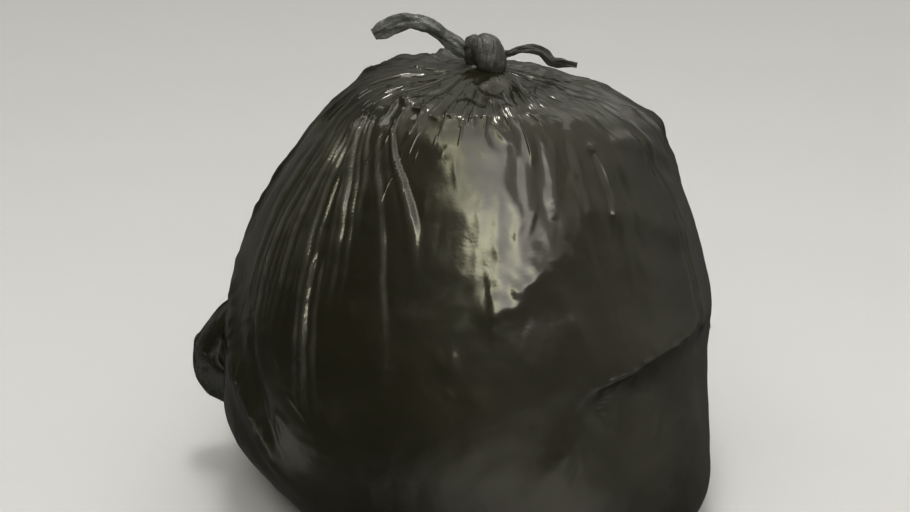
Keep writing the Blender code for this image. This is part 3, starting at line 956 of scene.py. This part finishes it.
class Nodes:
    """Short ways to add nodes to a tree."""

    def __init__(self, tree):
        self.tree = tree

    def feed(self, socket, value):
        """Links a node's output to a socket, or sets the socket to a plain value."""
        if isinstance(value, bpy.types.NodeSocket):
            self.tree.links.new(value, socket)
        else:
            socket.default_value = value

    def node(self, kind, inputs=None, **settings):
        made = self.tree.nodes.new("ShaderNode" + kind)
        for key, value in settings.items():
            setattr(made, key, value)
        for key, value in (inputs or {}).items():
            self.feed(made.inputs[key], value)
        return made

    def math(self, operation, a, b=0.0, clamp=False):
        return self.node("Math", {0: a, 1: b}, operation=operation, use_clamp=clamp).outputs[0]


class Surface(Nodes):
    """A material with a Principled shader. Its noise is in the object's own space, at scales per metre."""

    def __init__(self, name):
        self.material = bpy.data.materials.new(name)
        self.material.use_nodes = True
        super().__init__(self.material.node_tree)
        self.inputs = self.tree.nodes["Principled BSDF"].inputs
        self.place = self.node("TexCoord").outputs["Object"]

    def set(self, name, value):
        """Gives the shader's input a value."""
        self.feed(self.inputs[name], value)

    def noise(self, scale, detail=2.0, roughness=0.5, distortion=0.0):
        inputs = {"Vector": self.place, "Scale": scale, "Detail": detail, "Roughness": roughness}
        return self.node("TexNoise", {**inputs, "Distortion": distortion}).outputs["Fac"]

    def spread(self, value, low, high, to_low=0.0, to_high=1.0):
        """value taken from between low and high to between to_low and to_high."""
        inputs = {"Value": value, "From Min": low, "From Max": high, "To Min": to_low, "To Max": to_high}
        return self.node("MapRange", inputs).outputs["Result"]

    def mix(self, share, a, b):
        """Two colours mixed. The numbers are the Mix node's sockets for colours."""
        return self.node("Mix", {0: share, 6: a, 7: b}, data_type="RGBA").outputs[2]

    def bump(self, height, distance, strength, before=None):
        inputs = {"Height": height, "Distance": distance, "Strength": strength}
        if before is not None:
            inputs["Normal"] = before
        return self.node("Bump", inputs).outputs["Normal"]


def add_camera():
    data = bpy.data.cameras.new("camera")
    data.lens = LENS_MM
    data.sensor_width = SENSOR_MM
    camera = link("camera", data)
    tilt = math.radians(VIEW_DOWN_DEG)
    camera.location = VIEW_TARGET + Vector((0, -math.cos(tilt), math.sin(tilt))) * VIEW_DISTANCE
    camera.rotation_euler = (math.pi / 2 - tilt, 0, 0)
    bpy.context.scene.camera = camera
    bpy.context.scene.view_settings.view_transform = "Standard"


def toward(azimuth, elevation):
    """The unit vector of a direction given in degrees."""
    turn, rise = math.radians(azimuth), math.radians(elevation)
    return Vector((math.cos(turn) * math.cos(rise), math.sin(turn) * math.cos(rise), math.sin(rise)))


def softbox(name, azimuth, elevation, distance, size, radiance):
    """A square light that faces the bag, given by where it stands and how bright its face looks."""
    data = bpy.data.lights.new(name, "AREA")
    data.shape = "RECTANGLE"
    data.size = size
    data.size_y = size
    data.energy = radiance * math.pi * size * size
    lamp = link(name, data)
    lamp.location = LIT_POINT + toward(azimuth, elevation) * distance
    lamp.rotation_euler = toward(azimuth, elevation).to_track_quat("Z", "Y").to_euler()


def glow_material(name):
    """A light whose colour and radiance are read from the mesh."""
    material = bpy.data.materials.new(name)
    material.use_nodes = True
    material.node_tree.nodes.clear()
    nodes = Nodes(material.node_tree)
    read = nodes.node("Attribute", attribute_name="radiance").outputs["Vector"]
    nodes.node("OutputMaterial", {"Surface": nodes.node("Emission", {"Color": read}).outputs["Emission"]})
    return material


def glowing_panel(name, rows, colours):
    """A window or lamp that faces the lit point. Its radiance and colour run smoothly between its corners."""
    places, glows = [], []
    for elevation, azimuths, radiances in rows:
        places += [LIT_POINT + toward(azimuth, elevation) * PANEL_DISTANCE for azimuth in azimuths]
        glows += [[part * bright for part in colour] for bright, colour in zip(radiances, colours)]
    wide = len(colours)
    starts = [row * wide + column for row in range(len(rows) - 1) for column in range(wide - 1)]
    mesh = bpy.data.meshes.new(name)
    mesh.from_pydata(places, [], [(first, first + 1, first + wide + 1, first + wide) for first in starts])
    layer = mesh.attributes.new("radiance", "FLOAT_VECTOR", "POINT")
    layer.data.foreach_set("vector", np.array(glows, np.float32).ravel())
    mesh.materials.append(glow_material(name))
    panel = link(name, mesh)
    # A camera on its far side looks through it.
    panel.visible_camera = False


def light_room():
    """The light that comes from all round, as one sum of soft lobes."""
    world = bpy.data.worlds.new("studio")
    bpy.context.scene.world = world
    world.use_nodes = True
    nodes = Nodes(world.node_tree)
    direction = nodes.node("TexCoord").outputs["Generated"]
    total = ROOM_DARK
    for azimuth, elevation, strength, tight in ROOM_GLOW:
        inputs = {0: direction, 1: toward(azimuth, elevation)}
        dot = nodes.node("VectorMath", inputs, operation="DOT_PRODUCT").outputs["Value"]
        fall = nodes.math("MULTIPLY", nodes.math("SUBTRACT", dot, 1.0), tight)
        total = nodes.math("ADD", nodes.math("MULTIPLY", nodes.math("EXPONENT", fall), strength), total)
    background = world.node_tree.nodes["Background"].inputs
    nodes.feed(background["Color"], ROOM_COLOUR)
    nodes.feed(background["Strength"], total)


def add_lights():
    light_room()
    glowing_panel("window", WINDOW_ROWS, WINDOW_COLOURS)
    glowing_panel("ceiling_lamp", LAMP_ROWS, LAMP_COLOURS)
    glowing_panel("back_lamp", BACK_LAMP_ROWS, LAMP_COLOURS)
    softbox("overhead", azimuth=20, elevation=70, distance=3.0, size=1.6, radiance=0.8)


def film_material():
    """Thin olive-black film: glossy, with fine creases, dusty in places, and with painted highlights along the
    crests of the pulled folds and strands.
    """
    nodes = Surface("dark_film")
    cloudy = nodes.noise(9.0, detail=3.0)
    base = nodes.mix(nodes.spread(cloudy, 0.35, 0.65), FILM_DARK, FILM_PALE)
    dusty = nodes.spread(nodes.noise(24.0, detail=5.0, roughness=0.6), 0.56, 0.80)
    dust = nodes.math("MULTIPLY", dusty, 0.22, clamp=True)
    base = nodes.mix(dust, base, DUST_COLOUR)
    # The painted highlight on the folds' crests is mixed in here.
    crest_highlight = nodes.node("Attribute", attribute_name="crest_highlight").outputs["Fac"]
    highlight_share = nodes.math("MULTIPLY", crest_highlight, 1.0, clamp=True)
    nodes.set("Base Color", nodes.mix(highlight_share, base, CREST_HIGHLIGHT_COLOUR))
    mottled = nodes.noise(55.0, detail=3.0, distortion=0.6)
    rough = nodes.spread(mottled, 0.3, 0.7, to_low=0.10, to_high=0.16)
    nodes.set("Roughness", nodes.math("ADD", rough, nodes.math("MULTIPLY", dust, 0.22)))
    nodes.set("Specular Tint", MIRROR_TINT)
    normal = nodes.bump(nodes.noise(130.0, distortion=0.5), distance=0.0005, strength=0.10)
    nodes.set("Normal", nodes.bump(nodes.noise(420.0), distance=0.00008, strength=0.25, before=normal))
    return nodes.material


def bunched_material(name, dark, pale, smooth, rough):
    """The same film where it is bunched and worn: paler, more matt, and covered in sharp little creases."""
    nodes = Surface(name)
    cloudy = nodes.noise(70.0, detail=4.0, distortion=0.4)
    nodes.set("Base Color", nodes.mix(nodes.spread(cloudy, 0.35, 0.65), dark, pale))
    nodes.set("Roughness", nodes.spread(cloudy, 0.3, 0.7, smooth, rough))
    # A crease runs along each line where a noise is at its middle value.
    off_middle = nodes.math("SUBTRACT", nodes.noise(260.0, detail=1.0, distortion=0.8), 0.5)
    creased = nodes.spread(nodes.math("ABSOLUTE", off_middle), 0.0, 0.10, to_low=1.0, to_high=0.0)
    normal = nodes.bump(creased, distance=0.00025, strength=0.8)
    nodes.set("Normal", nodes.bump(nodes.noise(900.0), distance=0.0001, strength=0.5, before=normal))
    return nodes.material


def add_floor():
    """A plain pale floor, which isn't mirrored in the film."""
    nodes = Surface("floor")
    nodes.set("Base Color", nodes.mix(nodes.noise(1.2), FLOOR_DARK, FLOOR_PALE))
    nodes.set("Roughness", FLOOR_ROUGHNESS)
    mesh = bpy.data.meshes.new("floor")
    builder = bmesh.new()
    bmesh.ops.create_grid(builder, x_segments=2, y_segments=2, size=FLOOR_SIZE / 2)
    builder.to_mesh(mesh)
    builder.free()
    mesh.materials.append(nodes.material)
    floor = link("floor", mesh)
    floor.visible_glossy = False


def main():
    add_camera()
    add_lights()
    add_floor()
    film = film_piece()
    thin = film_material()
    dress(film, thin)
    knotted = bunched_material("knotted_film", *KNOTTED_FILM)
    # The paler copy for the left tail is painted light.
    loose = bunched_material("lit_tail_film", *LIT_TAIL_FILM)
    worn = bunched_material("paler_flap_film", *PALER_FLAP_FILM)
    for name, lobe in KNOT_LOBES.items():
        dress(knot_lobe(name, *lobe), knotted)
    for number, (name, route) in enumerate(TAILS.items()):
        # The left tail takes the paler copy, which is painted light; the right tail takes the knotted film.
        dress(tail(name, route, FIRST_TAIL_SEED + number), loose if name == "tail_left" else knotted)
    for name, flap in EAR_FLAPS.items():
        # The lower ear flap takes a paler copy of the bunched film, the upper one the thin film.
        dress(ear_flap(name, *flap), worn if name == "ear_lower" else thin)


main()
